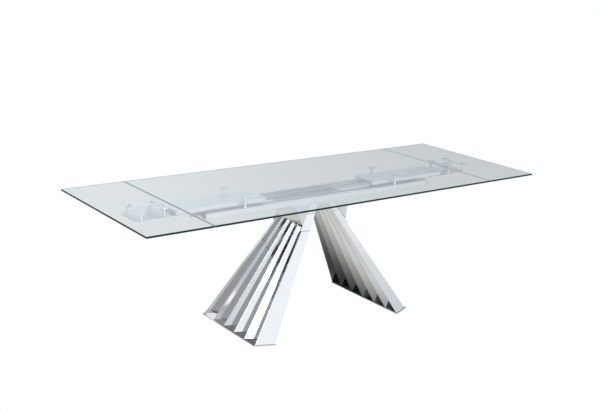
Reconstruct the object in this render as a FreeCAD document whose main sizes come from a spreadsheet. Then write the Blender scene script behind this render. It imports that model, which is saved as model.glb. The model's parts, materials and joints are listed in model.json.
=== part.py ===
"""Extending dining table: a glass top and two glass leaves over a pair of pleated steel legs.

Frame: millimetres, +Z up, +X along the table, +Y across it. The origin is on the floor
under the middle of the top. The table is modelled extended, with both leaves raised.
"""
import FreeCAD
import Part
import Sketcher
import os
import re
from FreeCAD import Vector

FIN_COUNT = 6

SIZES = [
    ("top_height", 760, "floor to the upper face of the glass"),
    ("frame_depth", 100, "top of the legs below the upper face of the glass"),
    ("glass_thickness", 10, "tempered panes"),
    ("glass_arris", 1.5, "ground edge of the panes"),
    ("main_length", 1800, "fixed pane, along the table"),
    ("top_width", 900, "all panes, across the table"),
    ("leaf_length", 347, "one leaf, along the table"),
    ("seam_gap", 3, "air between the fixed pane and a leaf"),
    ("leaf_drop", 24, "how far a leaf sinks before it can be stowed"),
    ("pad_thickness", 2, "rubber pads under the floor plates"),
    ("pad_radius", 15, ""),
    ("pad_inset", 32, "pad centre from the floor plate's edges"),
    ("plate_thickness", 6, "floor plates"),
    ("plate_lip", 6, "floor plate beyond the inner fin tips"),
    ("foot_outer", 528, "x of the outer fin tips at the floor"),
    ("foot_outer_half", 251, "half the spread of the outer tips at the floor"),
    ("foot_inner", 425, "x of the inner fin tips at the floor"),
    ("foot_inner_half", 293, "half the spread of the inner tips at the floor"),
    ("head_outer", 75, "x of the outer fin tips at the top of a leg"),
    ("head_outer_half", 93, ""),
    ("head_inner", 36, ""),
    ("head_inner_half", 98, ""),
    ("fin_sheet", 2, "folded stainless sheet"),
    ("cap_thickness", 4, "plate that closes the top of a leg"),
    ("crown_height", 98, "flared crowns, on the outer tips at the top of the legs"),
    ("crown_lip", 7, "depth of a crown at its lower edge"),
    ("crown_outer", 182, "x of a crown's outer edge at its top"),
    ("crown_wall", 2, ""),
    ("crown_floor", 12, "welded-in floor of a crown, at its lower edge"),
    ("mount_plate", 8, "thickness of the plate on the crowns and of the tie plates"),
    ("mount_plate_half", 215, "half the mounting plate's length"),
    ("tie_back", 42, "middle of a tie plate, from the rails' ends"),
    ("tie_length", 50, ""),
    ("rail_short", 158, "rails' ends, inside the fixed pane's ends"),
    ("rail_place", 100, "y of the rails' middle"),
    ("rail_width", 24, ""),
    ("rail_height", 26, ""),
    ("rail_wall", 2, ""),
    ("rail_cap", 3, "plastic end caps"),
    ("channel_place", 48, "y of the slide channels' middle"),
    ("channel_width", 16, ""),
    ("channel_height", 20, ""),
    ("channel_wall", 2, ""),
    ("channel_mouth", 7, "slot along the top of a channel"),
    ("runner_play", 0.5, "air around a runner in its channel"),
    ("runner_web", 5, ""),
    ("runner_bar", 12, "height of the bar inside the channel"),
    ("carriage_gap", 11, "carriage from the table's middle when stowed"),
    ("carriage_back", 10, "carriage's outer end, inside the fixed pane's end"),
    ("carriage_half", 80, "half the carriage's width"),
    ("carriage_cover", 15, "height of the cover"),
    ("carriage_corner", 6, ""),
    ("cover_wall", 1.5, ""),
    ("carriage_plate", 6, ""),
    ("carriage_inset", 2, "carriage plate inside its cover"),
    ("lift_clearance", 2, "lift plate above the rails"),
    ("lift_plate", 6, ""),
    ("lift_overlap", 90, "lift plate under the carriage"),
    ("lift_margin", 28, "lift plate beyond the outer leaf posts"),
    ("lift_half", 86, ""),
    ("main_post_gap", 48, "posts under the fixed pane, from a stowed leaf"),
    ("post_radius", 5, ""),
    ("post_foot_radius", 10, ""),
    ("post_foot", 4, ""),
    ("disc_radius", 22, "discs bonded under the panes"),
    ("disc_thickness", 6, ""),
    ("disc_edge", 1, ""),
    ("leaf_post_start", 50, "inner leaf posts from the leaf's inner edge"),
    ("leaf_post_spacing", 124, ""),
    ("leaf_post_place", 75, "y of the leaf posts"),
    ("leaf_post_radius", 6, ""),
    ("leaf_post_below", 4, "leaf posts below the lift plate's upper face"),
    ("guide_radius", 9, ""),
    ("guide_room", 2, "air over a guide when the leaf is down"),
    ("guide_play", 0.05, "running fit of a leaf post in its guide"),
    ("hole_play", 1, "air round a leaf post in the lift plate"),
    ("brace_thickness", 2, ""),
    ("brace_width", 26, ""),
    ("bolt_radius", 4, ""),
    ("bolt_head_radius", 6.5, ""),
    ("bolt_head", 4, ""),
    ("crown_bolt_inner", 56, ""),
    ("crown_bolt_outer", 130, ""),
    ("crown_bolt_place", 22, ""),
    ("carriage_bolt_start", 22, "first screws from the lift plate's inner end"),
    ("carriage_bolt_spacing", 40, ""),
    ("carriage_bolt_place", 66, ""),
]

LEG_TOP = "(top_height - frame_depth)"
CROWN_Z = "(top_height - frame_depth - crown_height)"
FRAME_Z = "(" + LEG_TOP + " + mount_plate)"
RAIL_TOP = "(" + FRAME_Z + " + rail_height)"
LIFT_Z = "(" + RAIL_TOP + " + lift_clearance)"
LIFT_TOP = "(" + LIFT_Z + " + lift_plate)"
COVER_Z = "(" + LIFT_TOP + " + carriage_plate)"
GLASS_Z = "(top_height - glass_thickness)"
DISC_Z = "(" + GLASS_Z + " - disc_thickness)"
BRACE_Z = "(" + DISC_Z + " - brace_thickness)"
GUIDE_HEIGHT = "(" + BRACE_Z + " - leaf_drop - guide_room - " + LIFT_TOP + ")"

RAIL_END = "(main_length / 2 - rail_short)"
TIE_PLACE = "(" + RAIL_END + " - tie_back)"
MAIN_POST = "(main_length / 2 - leaf_length - main_post_gap)"
CARRIAGE_IN = "(leaf_length + seam_gap + carriage_gap)"
CARRIAGE_OUT = "(main_length / 2 - carriage_back)"
LIFT_IN = "(" + CARRIAGE_OUT + " - lift_overlap)"
LEAF_POST_IN = "(main_length / 2 + seam_gap + leaf_post_start)"
LEAF_POST_OUT = "(" + LEAF_POST_IN + " + leaf_post_spacing)"
LIFT_OUT = "(" + LEAF_POST_OUT + " + lift_margin)"
CARRIAGE_BOLTS = [LIFT_IN + " + carriage_bolt_start",
                  LIFT_IN + " + carriage_bolt_start + carriage_bolt_spacing"]

doc = FreeCAD.newDocument("extending_table")
sheet = doc.addObject("Spreadsheet::Sheet", "Sizes")
sub_parts = []


def fill_sheet():
    """Write every driving size into the sheet, one named cell to a row."""
    for row, (name, value, note) in enumerate(SIZES, start=1):
        sheet.set("A%d" % row, name)
        sheet.set("B%d" % row, str(value))
        sheet.setAlias("B%d" % row, name)
        sheet.set("C%d" % row, note)
    doc.recompute()


def formula(text):
    """A formula of size names as a FreeCAD expression."""
    return re.sub(r"[a-z_]+", lambda name: "Sizes." + name.group(0), text)


def value(text):
    """The number that a formula of size names gives."""
    return float(sheet.evalExpression(formula(text)))


def bind(item, **formulas):
    """Tie properties to formulas; x, y and z are the item's place."""
    for name, text in formulas.items():
        target = "Placement.Base." + name if name in ("x", "y", "z") else name
        item.setExpression(target, formula(text))
    return item


def keep(item, label):
    """Name a finished sub-part; its label is its node's name."""
    item.Label = label
    sub_parts.append(item)
    return item


def box(name, x, y, z, length, width, height):
    """A plain box with its low corner at x, y, z."""
    item = doc.addObject("Part::Box", name)
    return bind(item, x=x, y=y, z=z, Length=length, Width=width, Height=height)


def cylinder(name, x, y, z, radius, height):
    """An upright cylinder standing on x, y, z."""
    item = doc.addObject("Part::Cylinder", name)
    return bind(item, x=x, y=y, z=z, Radius=radius, Height=height)


def cut(name, base, tool):
    item = doc.addObject("Part::Cut", name)
    item.Base = base
    item.Tool = tool
    return item


def fuse(name, shapes):
    item = doc.addObject("Part::MultiFuse", name)
    item.Shapes = shapes
    return item


def group(name, shapes):
    """Identical fittings in one sub-part, each still its own solid."""
    item = doc.addObject("Part::Compound", name)
    item.Links = shapes
    return item


def mirrored(source, name):
    """The same piece at the table's left end."""
    item = doc.addObject("Part::Mirroring", name)
    item.Source = source
    item.Normal = Vector(1, 0, 0)
    return item


def both_ends(source, piece):
    """Keep a piece of the right end and its mirror image at the left end."""
    keep(source, "right_" + piece)
    keep(mirrored(source, "left_" + piece), "left_" + piece)


def pin_point(sketch, geometry, point, x, y):
    """Fix a sketch point at two signed formulas, such as ("-", "top_width / 2")."""
    for kind, (sign, text) in (("DistanceX", x), ("DistanceY", y)):
        ends = (-1, 1, geometry, point) if sign == "+" else (geometry, point, -1, 1)
        index = sketch.addConstraint(Sketcher.Constraint(kind, *ends, 1.0))
        sketch.setExpression("Constraints[%d]" % index, formula(text))


def signed_value(term):
    """The number behind a signed formula, where the sketch point is first drawn."""
    sign, text = term
    return value(text) if sign == "+" else -value(text)


def plate(name, corners, thickness, holes=()):
    """A flat plate: a sketched outline with round holes, padded upwards."""
    body = doc.addObject("PartDesign::Body", name)
    floor = [item for item in body.Origin.OriginFeatures if item.Role == "XY_Plane"][0]
    sketch = body.newObject("Sketcher::SketchObject", name + "_outline")
    sketch.AttachmentSupport = (floor, [""])
    sketch.MapMode = "FlatFace"
    points = [Vector(signed_value(x), signed_value(y), 0) for x, y in corners]
    for start, end in zip(points, points[1:] + points[:1]):
        sketch.addGeometry(Part.LineSegment(start, end))
    for index, (x, y) in enumerate(corners):
        before = (index - 1) % len(corners)
        sketch.addConstraint(Sketcher.Constraint("Coincident", before, 2, index, 1))
        pin_point(sketch, index, 1, x, y)
    for x, y, radius in holes:
        middle = Vector(signed_value(x), signed_value(y), 0)
        hole = sketch.addGeometry(Part.Circle(middle, Vector(0, 0, 1), value(radius)))
        pin_point(sketch, hole, 3, x, y)
        index = sketch.addConstraint(Sketcher.Constraint("Radius", hole, value(radius)))
        sketch.setExpression("Constraints[%d]" % index, formula(radius))
    pad = body.newObject("PartDesign::Pad", name + "_pad")
    pad.Profile = sketch
    bind(pad, Length=thickness)
    body.Tip = pad
    doc.recompute()
    return body


def rectangle(low_x, high_x, half_width):
    """Corners of a plate that is centred across the table; each x is a signed formula."""
    return [(low_x, ("-", half_width)), (high_x, ("-", half_width)),
            (high_x, ("+", half_width)), (low_x, ("+", half_width))]


def chamfered(body, chamfer_size, edges_of):
    """Break the chosen edges of a plate."""
    solid = body.Tip
    chamfer = body.newObject("PartDesign::Chamfer", body.Name + "_arris")
    chamfer.Base = (solid, edges_of(solid.Shape))
    bind(chamfer, Size=chamfer_size)
    body.Tip = chamfer
    doc.recompute()
    return body


def flat_edges(shape):
    """The edges round a plate's upper and lower faces."""
    names = []
    for index, edge in enumerate(shape.Edges, start=1):
        if abs(edge.Vertexes[0].Z - edge.Vertexes[-1].Z) < 0.001:
            names.append("Edge%d" % index)
    return names


def upright_edges(shape):
    """The edges at a plate's corners."""
    names = []
    for index, edge in enumerate(shape.Edges, start=1):
        if abs(edge.Vertexes[0].Z - edge.Vertexes[-1].Z) > 0.001:
            names.append("Edge%d" % index)
    return names


# ---- glass ----------------------------------------------------------------------------

def glass_panes():
    """The fixed pane and the two leaves, flush, with a narrow seam between them."""
    half_main = "main_length / 2"
    leaf_start = "main_length / 2 + seam_gap"
    leaf_end = "main_length / 2 + seam_gap + leaf_length"
    spans = {"main_glass": (("-", half_main), ("+", half_main)),
             "right_leaf_glass": (("+", leaf_start), ("+", leaf_end)),
             "left_leaf_glass": (("-", leaf_end), ("-", leaf_start))}
    for name, (low, high) in spans.items():
        pane = plate(name, rectangle(low, high, "top_width / 2"), "glass_thickness")
        chamfered(pane, "glass_arris", flat_edges)
        bind(pane, z=GLASS_Z)
        keep(pane, name)


# ---- legs -----------------------------------------------------------------------------

def leg_span(height):
    """Place and half spread of a leg's outer and inner tips at one height."""
    share = height / value(LEG_TOP)
    span = {}
    for name in ("outer", "outer_half", "inner", "inner_half"):
        low = value("foot_" + name)
        span[name] = low + (value("head_" + name) - low) * share
    return span


def leg_outline(height):
    """Tips of the pleats at one height: outer tips, and the joints between fins."""
    span = leg_span(height)
    pitch = 2 * span["outer_half"] / (FIN_COUNT - 1)
    outer = [(span["outer"], span["outer_half"] - pitch * index) for index in range(FIN_COUNT)]
    inner = [(span["inner"], outer[index][1] - pitch / 2) for index in range(FIN_COUNT - 1)]
    first = (span["inner"], span["inner_half"])
    last = (span["inner"], -span["inner_half"])
    return outer, [first] + inner + [last]


def shifted_line(start, end, distance):
    """A line moved sideways towards the inside of a fold, as a point and a direction."""
    along = Vector(end[0] - start[0], end[1] - start[1], 0).normalize()
    across = Vector(along.y, -along.x, 0)
    if across.x > 0:
        across = across.negative()
    return Vector(start[0], start[1], 0) + across * distance, along


def meet(line, other):
    """Where two lines cross."""
    (point, way), (other_point, other_way) = line, other
    gap = other_point - point
    turn = way.x * other_way.y - way.y * other_way.x
    reach = (gap.x * other_way.y - gap.y * other_way.x) / turn
    return point + way * reach


def fin_section(index, height):
    """One folded fin cut level: a V of sheet with its point outwards."""
    outer, inner = leg_outline(height)
    tip, start, end = outer[index], inner[index], inner[index + 1]
    sheet_thickness = value("fin_sheet")
    first = shifted_line(start, tip, sheet_thickness)
    second = shifted_line(tip, end, sheet_thickness)
    joint_way = Vector(1, 0, 0)
    start_inside = meet(first, (Vector(*start, 0), joint_way)) if index > 0 else first[0]
    end_inside = meet(second, (Vector(*end, 0), joint_way))
    if index == FIN_COUNT - 1:
        end_inside = shifted_line(end, tip, sheet_thickness)[0]
    ring = [Vector(*start, 0), Vector(*tip, 0), Vector(*end, 0),
            end_inside, meet(first, second), start_inside]
    return [Vector(point.x, point.y, height) for point in ring]


def ruled_solid(low_ring, high_ring):
    """A solid whose straight sides join two level outlines corner to corner."""
    wires = [Part.makePolygon(ring + ring[:1]) for ring in (low_ring, high_ring)]
    return Part.makeLoft(wires, True, True)


def feature(name, shape):
    """A sub-part whose outline changes along its height, set from its own points."""
    item = doc.addObject("Part::Feature", name)
    item.Shape = shape
    return keep(item, name)


def feature_both_ends(piece, shape):
    """A shaped piece at the right end and its mirror image at the left end."""
    feature("right_" + piece, shape)
    feature("left_" + piece, shape.mirror(Vector(0, 0, 0), Vector(1, 0, 0)))


def leg_ring(height):
    """The outline round a leg's pleats at one height."""
    span = leg_span(height)
    return [Vector(span["outer"], span["outer_half"], height),
            Vector(span["inner"], span["inner_half"], height),
            Vector(span["inner"], -span["inner_half"], height),
            Vector(span["outer"], -span["outer_half"], height)]


def legs():
    """Folded fins between a floor plate and a cap plate."""
    low = value("pad_thickness") + value("plate_thickness")
    high = value(LEG_TOP) - value("cap_thickness")
    for index in range(FIN_COUNT):
        shape = ruled_solid(fin_section(index, low), fin_section(index, high))
        feature_both_ends("fin_%d" % (index + 1), shape)
    cap = ruled_solid(leg_ring(high), leg_ring(value(LEG_TOP)))
    feature_both_ends("leg_cap", cap)


def crown_ring(height, inset):
    """A level section of a crown: from the plane of the outer tips out to the flare."""
    span = leg_span(height)
    share = (height - value(CROWN_Z)) / (value(LEG_TOP) - value(CROWN_Z))
    start = leg_span(value(CROWN_Z))["outer"] + value("crown_lip")
    flare = start + (value("crown_outer") - start) * share
    low_x, high_x, half = span["outer"] + inset, flare - inset, span["outer_half"] - inset
    return [Vector(high_x, half, height), Vector(low_x, half, height),
            Vector(low_x, -half, height), Vector(high_x, -half, height)]


def crowns():
    """Hollow boxes that flare outwards from the outer tips up to the mounting plate."""
    low, high = value(CROWN_Z), value(LEG_TOP)
    floor, wall = low + value("crown_floor"), value("crown_wall")
    outside = ruled_solid(crown_ring(low, 0), crown_ring(high, 0))
    inside = ruled_solid(crown_ring(floor, wall), crown_ring(high, wall))
    feature_both_ends("crown", outside.cut(inside))


def floor_plates():
    """A plate under each leg, on four rubber pads."""
    outer, half = ("+", "foot_outer"), "foot_outer_half"
    inner, inner_half = ("+", "foot_inner - plate_lip"), "foot_inner_half + plate_lip / 2"
    corners = [(inner, ("-", inner_half)), (outer, ("-", half)),
               (outer, ("+", half)), (inner, ("+", inner_half))]
    body = plate("floor_plate_right", corners, "plate_thickness")
    bind(body, z="pad_thickness")
    both_ends(body, "floor_plate")
    pads = []
    for place in ("foot_outer - pad_inset", "foot_inner + pad_inset"):
        for sign in ("", "-"):
            across = sign + "(foot_outer_half - pad_inset)"
            name = "pad_%d" % len(pads)
            pads.append(cylinder(name, place, across, "0 * pad_radius", "pad_radius", "pad_thickness"))
    both_ends(group("pads_right", pads), "floor_pads")


# ---- fixed frame ----------------------------------------------------------------------

def bolt(name, x, y, head_z, shank_z, shank):
    """A cap screw: a head at head_z and a shank that ends or starts at shank_z."""
    head = cylinder(name + "_head", x, y, head_z, "bolt_head_radius", "bolt_head")
    body = cylinder(name + "_shank", x, y, shank_z, "bolt_radius", shank)
    return fuse(name, [head, body])


def mounting_plate():
    """The plate on the crowns, with the screws that hold it down."""
    holes, bolts = [], []
    for sign in ("+", "-"):
        for place in ("crown_bolt_inner", "crown_bolt_outer"):
            for across in ("+", "-"):
                holes.append(((sign, place), (across, "crown_bolt_place"), "bolt_radius"))
                where = [sign + place, across + "crown_bolt_place"]
                where = [text.lstrip("+") for text in where]
                bolts.append(bolt("crown_bolt_%d" % len(bolts), *where, FRAME_Z, LEG_TOP,
                                  "mount_plate"))
    corners = rectangle(("-", "mount_plate_half"), ("+", "mount_plate_half"),
                        "rail_place + rail_width / 2")
    body = plate("mounting_plate", corners, "mount_plate", holes)
    bind(body, z=LEG_TOP)
    keep(body, "mounting_plate")
    keep(group("crown_bolts", bolts), "crown_bolts")


def rails():
    """Two box rails along the table, capped at both ends and tied near them."""
    length = "2 * " + RAIL_END
    for name, sign in (("front", "-"), ("back", "")):
        low = sign + "rail_place - rail_width / 2"
        outside = box(name + "_rail_skin", "-" + RAIL_END, low, FRAME_Z, length, "rail_width", "rail_height")
        hollow = box(name + "_rail_hollow", "-" + RAIL_END, low + " + rail_wall", FRAME_Z + " + rail_wall",
                     length, "rail_width - 2 * rail_wall", "rail_height - 2 * rail_wall")
        keep(cut(name + "_rail", outside, hollow), name + "_rail")
    caps = []
    for sign in ("-", ""):
        low = sign + "rail_place - rail_width / 2"
        for start in (RAIL_END, "-" + RAIL_END + " - rail_cap"):
            name = "rail_cap_%d" % (len(caps) + 1)
            caps.append(box(name, start, low, FRAME_Z, "rail_cap", "rail_width", "rail_height"))
    keep(group("rail_caps", caps), "rail_caps")
    tie = box("tie_right", TIE_PLACE + " - tie_length / 2", "-(rail_place + rail_width / 2)", LEG_TOP,
              "tie_length", "2 * rail_place + rail_width", "mount_plate")
    both_ends(tie, "tie_plate")


def slide_channels():
    """Slotted channels on the frame, in which the carriages' runners slide."""
    for name, sign in (("front", "-"), ("back", "")):
        low = sign + "channel_place - channel_width / 2"
        slot = sign + "channel_place - channel_mouth / 2"
        outside = box(name + "_channel_skin", "-" + RAIL_END, low, FRAME_Z, "2 * " + RAIL_END,
                      "channel_width", "channel_height")
        hollow = box(name + "_channel_hollow", "-" + RAIL_END, low + " + channel_wall",
                     FRAME_Z + " + channel_wall", "2 * " + RAIL_END, "channel_width - 2 * channel_wall",
                     "channel_height - 2 * channel_wall")
        mouth = box(name + "_channel_mouth", "-" + RAIL_END, slot, FRAME_Z + " + channel_height / 2",
                    "2 * " + RAIL_END, "channel_mouth", "channel_height")
        inside = fuse(name + "_channel_inside", [hollow, mouth])
        keep(cut(name + "_channel", outside, inside), name + "_slide_channel")


def bonded_disc(name, x, y):
    """A disc glued under a pane, with its lower rim broken."""
    body = cylinder(name + "_blank", x, y, DISC_Z, "disc_radius", "disc_thickness - disc_edge")
    bind(body, z=DISC_Z + " + disc_edge")
    rim = doc.addObject("Part::Cone", name + "_rim")
    bind(rim, x=x, y=y, z=DISC_Z, Radius1="disc_radius - disc_edge", Radius2="disc_radius",
         Height="disc_edge")
    return fuse(name, [body, rim])


def main_posts():
    """Four posts on the rails, with discs bonded under the fixed pane."""
    for end, x_sign in (("right", ""), ("left", "-")):
        for row, y_sign in (("front", "-"), ("back", "")):
            x, y = x_sign + MAIN_POST, y_sign + "rail_place"
            name = "%s_%s_post" % (end, row)
            foot = cylinder(name + "_foot", x, y, RAIL_TOP, "post_foot_radius", "post_foot")
            rod = cylinder(name + "_rod", x, y, RAIL_TOP, "post_radius",
                           DISC_Z + " - " + RAIL_TOP)
            keep(fuse(name, [foot, rod]), name)
            keep(bonded_disc("%s_%s_disc" % (end, row), x, y), "%s_%s_disc" % (end, row))


# ---- sliding carriage and leaf lift -----------------------------------------------------

def carriage():
    """A covered plate on two runners, which carries a leaf's lift plate."""
    skin = plate("cover_skin", rectangle(("+", CARRIAGE_IN), ("+", CARRIAGE_OUT),
                                         "carriage_half"), "carriage_cover")
    chamfered(skin, "carriage_corner", upright_edges)
    bind(skin, z=COVER_Z)
    hollow = box("cover_hollow", CARRIAGE_IN + " + carriage_corner", "cover_wall - carriage_half",
                 COVER_Z, CARRIAGE_OUT + " - 2 * carriage_corner - " + CARRIAGE_IN,
                 "2 * (carriage_half - cover_wall)", "carriage_cover - cover_wall")
    both_ends(cut("cover_right", skin, hollow), "carriage_cover")
    low_x, high_x = ("+", CARRIAGE_IN + " + carriage_corner"), ("+", CARRIAGE_OUT + " - carriage_inset")
    body = plate("carriage_plate_right", rectangle(low_x, high_x, "carriage_half - carriage_inset"),
                 "carriage_plate", carriage_bolt_holes())
    bind(body, z=LIFT_TOP)
    both_ends(body, "carriage_plate")
    bolts = []
    for place in CARRIAGE_BOLTS:
        for sign in ("", "-"):
            bolts.append(bolt("carriage_bolt_%d" % len(bolts), place, sign + "carriage_bolt_place",
                              LIFT_Z + " - bolt_head", LIFT_Z, "lift_plate + carriage_plate"))
    both_ends(group("carriage_bolts_right", bolts), "carriage_bolts")
    for row, sign in (("front", "-"), ("back", "")):
        runner(row, sign + "channel_place")


def runner(row, middle):
    """A T-shaped runner: a bar inside the channel and a web up to the carriage."""
    start = CARRIAGE_IN + " + carriage_corner"
    length = LIFT_IN + " - 2 * carriage_corner - " + CARRIAGE_IN
    bar_half = "(channel_width / 2 - channel_wall - runner_play)"
    bar_z = "(" + FRAME_Z + " + (channel_height - runner_bar) / 2)"
    bar = box(row + "_runner_bar", start, middle + " - " + bar_half, bar_z, length,
              "2 * " + bar_half, "runner_bar")
    web = box(row + "_runner_web", start, middle + " - runner_web / 2", bar_z, length,
              "runner_web", LIFT_TOP + " - " + bar_z)
    both_ends(fuse(row + "_runner_right", [bar, web]), row + "_runner")


def carriage_bolt_holes():
    """Screw holes that the carriage plate and the lift plate share."""
    return [(("+", place), (sign, "carriage_bolt_place"), "bolt_radius")
            for place in CARRIAGE_BOLTS for sign in ("+", "-")]


def leaf_lift():
    """The lift plate with its post guides, and the leaf's posts, discs and brace."""
    columns = {"inner": LEAF_POST_IN, "outer": LEAF_POST_OUT}
    holes = [(("+", x), (sign, "leaf_post_place"), "leaf_post_radius + hole_play")
             for x in columns.values() for sign in ("+", "-")]
    corners = rectangle(("+", LIFT_IN), ("+", LIFT_OUT), "lift_half")
    body = plate("lift_plate_right", corners, "lift_plate", holes + carriage_bolt_holes())
    bind(body, z=LIFT_Z)
    both_ends(body, "lift_plate")
    guides, posts, discs, bores = [], [], [], []
    post_z = "(" + LIFT_TOP + " - leaf_post_below)"
    for column, x in columns.items():
        for row, sign in (("front", "-"), ("back", "")):
            name, y = column + "_" + row, sign + "leaf_post_place"
            sleeve = cylinder(name + "_sleeve", x, y, LIFT_TOP, "guide_radius", GUIDE_HEIGHT)
            bore = cylinder(name + "_bore", x, y, LIFT_TOP, "leaf_post_radius + guide_play", GUIDE_HEIGHT)
            guides.append(cut(name + "_guide", sleeve, bore))
            length = DISC_Z + " - " + post_z
            posts.append(cylinder(name + "_leaf_post", x, y, post_z, "leaf_post_radius", length))
            discs.append(bonded_disc(name + "_leaf_disc", x, y))
            bores.append(cylinder(name + "_hole", x, y, BRACE_Z, "leaf_post_radius", "brace_thickness"))
    both_ends(group("guides_right", guides), "post_guides")
    both_ends(group("leaf_posts_right", posts), "leaf_posts")
    both_ends(group("leaf_discs_right", discs), "leaf_discs")
    leaf_brace(columns, bores)


def leaf_brace(columns, bores):
    """A flat frame under the discs that keeps the four leaf posts square."""
    bars = []
    low_y, length = "-leaf_post_place - brace_width / 2", "2 * leaf_post_place + brace_width"
    for column, x in columns.items():
        bars.append(box("brace_" + column, x + " - brace_width / 2", low_y, BRACE_Z,
                        "brace_width", length, "brace_thickness"))
    bars.append(box("brace_middle", LEAF_POST_IN, "-brace_width / 2", BRACE_Z,
                    "leaf_post_spacing", "brace_width", "brace_thickness"))
    frame = cut("brace_right", fuse("brace_bars", bars), group("brace_bores", bores))
    both_ends(frame, "leaf_brace")


def check_document():
    """Stop if any object failed, or a sub-part is empty or not a valid solid."""
    for item in doc.Objects:
        if "Invalid" in item.State or "Error" in item.State:
            raise RuntimeError("failed: " + item.Label)
    for item in sub_parts:
        if item.Shape.isNull() or not item.Shape.isValid() or not item.Shape.Solids:
            raise RuntimeError("bad shape: " + item.Label)


def write_parts():
    """Write one file for each sub-part, named by its label."""
    os.makedirs("parts", exist_ok=True)
    for item in sub_parts:
        item.Shape.exportStep("parts/%s.step" % item.Label)
        print("%-22s %2d solids %12.0f mm3" % (item.Label, len(item.Shape.Solids), item.Shape.Volume))


fill_sheet()
glass_panes()
legs()
crowns()
floor_plates()
mounting_plate()
rails()
slide_channels()
main_posts()
carriage()
leaf_lift()
doc.recompute()
check_document()
write_parts()
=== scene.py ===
"""Extending dining table: looks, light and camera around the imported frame. Metres throughout."""
import bmesh
import bpy
import json
import math
from mathutils import Matrix, Vector


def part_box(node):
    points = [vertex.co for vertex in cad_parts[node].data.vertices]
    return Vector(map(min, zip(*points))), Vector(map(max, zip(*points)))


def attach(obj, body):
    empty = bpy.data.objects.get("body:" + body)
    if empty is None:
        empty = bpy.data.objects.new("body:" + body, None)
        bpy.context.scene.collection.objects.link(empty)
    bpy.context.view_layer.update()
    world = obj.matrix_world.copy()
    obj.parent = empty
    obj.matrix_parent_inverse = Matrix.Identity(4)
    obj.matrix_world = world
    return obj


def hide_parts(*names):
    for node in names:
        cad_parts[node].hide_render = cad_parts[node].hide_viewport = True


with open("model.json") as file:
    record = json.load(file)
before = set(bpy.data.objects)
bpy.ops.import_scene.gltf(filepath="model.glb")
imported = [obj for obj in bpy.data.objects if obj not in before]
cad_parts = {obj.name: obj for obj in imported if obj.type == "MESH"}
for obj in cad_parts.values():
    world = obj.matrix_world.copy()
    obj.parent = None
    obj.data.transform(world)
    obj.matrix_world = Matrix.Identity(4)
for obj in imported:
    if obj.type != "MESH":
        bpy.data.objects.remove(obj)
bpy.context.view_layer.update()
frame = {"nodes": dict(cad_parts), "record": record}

MM = 0.001
SIDES = {"right": 1.0, "left": -1.0}
SEAM_PLACE = (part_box("main_glass")[1][0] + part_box("right_leaf_glass")[0][0]) / 2

# ---- shader writing -------------------------------------------------------------------


class Wire:
    """A shader socket that takes part in ordinary arithmetic, as Math nodes."""

    def __init__(self, graph, socket):
        self.graph = graph
        self.socket = socket

    def maths(self, operation, first, second):
        return self.graph.node("ShaderNodeMath", {"operation": operation}, {0: first, 1: second})

    def __add__(self, other):
        return self.maths("ADD", self, other)

    def __radd__(self, other):
        return self.maths("ADD", other, self)

    def __sub__(self, other):
        return self.maths("SUBTRACT", self, other)

    def __rsub__(self, other):
        return self.maths("SUBTRACT", other, self)

    def __mul__(self, other):
        return self.maths("MULTIPLY", self, other)

    def __rmul__(self, other):
        return self.maths("MULTIPLY", other, self)

    def __pow__(self, other):
        return self.maths("POWER", self, other)

    def __gt__(self, other):
        return self.maths("GREATER_THAN", self, other)

    def __abs__(self):
        return self.maths("ABSOLUTE", self, 0.0)


class Graph:
    """A node tree under construction."""

    def __init__(self, owner):
        owner.use_nodes = True
        self.owner = owner
        self.tree = owner.node_tree
        self.tree.nodes.clear()

    def node(self, kind, settings=None, sockets=None, output=0):
        """A node with its settings and sockets filled in; gives one of its outputs."""
        made = self.tree.nodes.new(kind)
        for name, value in (settings or {}).items():
            setattr(made, name, value)
        for name, value in (sockets or {}).items():
            self.feed(made.inputs[name], value)
        return Wire(self, made.outputs[output]) if made.outputs else made

    def feed(self, socket, value):
        """Link a wire to a socket, or set the socket's own value."""
        if isinstance(value, Wire):
            self.tree.links.new(value.socket, socket)
        else:
            socket.default_value = value

    def place(self, stretch=(1.0, 1.0, 1.0)):
        """Object coordinates, stretched along the axes."""
        points = self.node("ShaderNodeTexCoord", output="Object")
        return self.node("ShaderNodeMapping", {}, {"Vector": points, "Scale": stretch})

    def noise(self, scale, detail, stretch=(1.0, 1.0, 1.0)):
        sockets = {"Vector": self.place(stretch), "Scale": scale, "Detail": detail}
        return self.node("ShaderNodeTexNoise", {}, sockets, output="Fac")

    def blend(self, factor, first, second):
        """A colour between two others: sockets 6 and 7 are the Mix node's colours A and B."""
        return self.node("ShaderNodeMix", {"data_type": "RGBA"}, {0: factor, 6: first, 7: second},
                         output=2)

    def rise(self, value, low, high, start=0.0, end=1.0):
        """A soft step from start to end while the value goes from low to high."""
        return self.node("ShaderNodeMapRange", {"interpolation_type": "SMOOTHSTEP"},
                         {0: value, 1: low, 2: high, 3: start, 4: end})

    def bump(self, height, strength, distance):
        return self.node("ShaderNodeBump", {}, {"Height": height, "Strength": strength,
                                                "Distance": distance})

    def surface(self, shader):
        self.node("ShaderNodeOutputMaterial", {}, {"Surface": shader})
        return self.owner


def finish_named(name):
    return Graph(bpy.data.materials.new(name))


def principled(finish, **sockets):
    names = {name.replace("_", " "): value for name, value in sockets.items()}
    return finish.node("ShaderNodeBsdfPrincipled", {}, names)


# ---- finishes -------------------------------------------------------------------------


# soft steps of a rise: from, to, value at from, value at to
# FACING_SIDE and OFF_CENTRE place the satin steel's painted highlight; FACING_FLAT and INBOARD place its
# painted underside shade
FACING_FLAT = (0.80, 0.95)
FACING_SIDE = (0.2, 0.5, 1.0, 0.0)
INBOARD = (0.72, 0.82, 1.0, 0.3)
OFF_CENTRE = (0.060, 0.075)
ARRIS_SLOPE = 0.3
GLASS_IOR = 1.52
EDGE_IOR = 1.28


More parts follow.
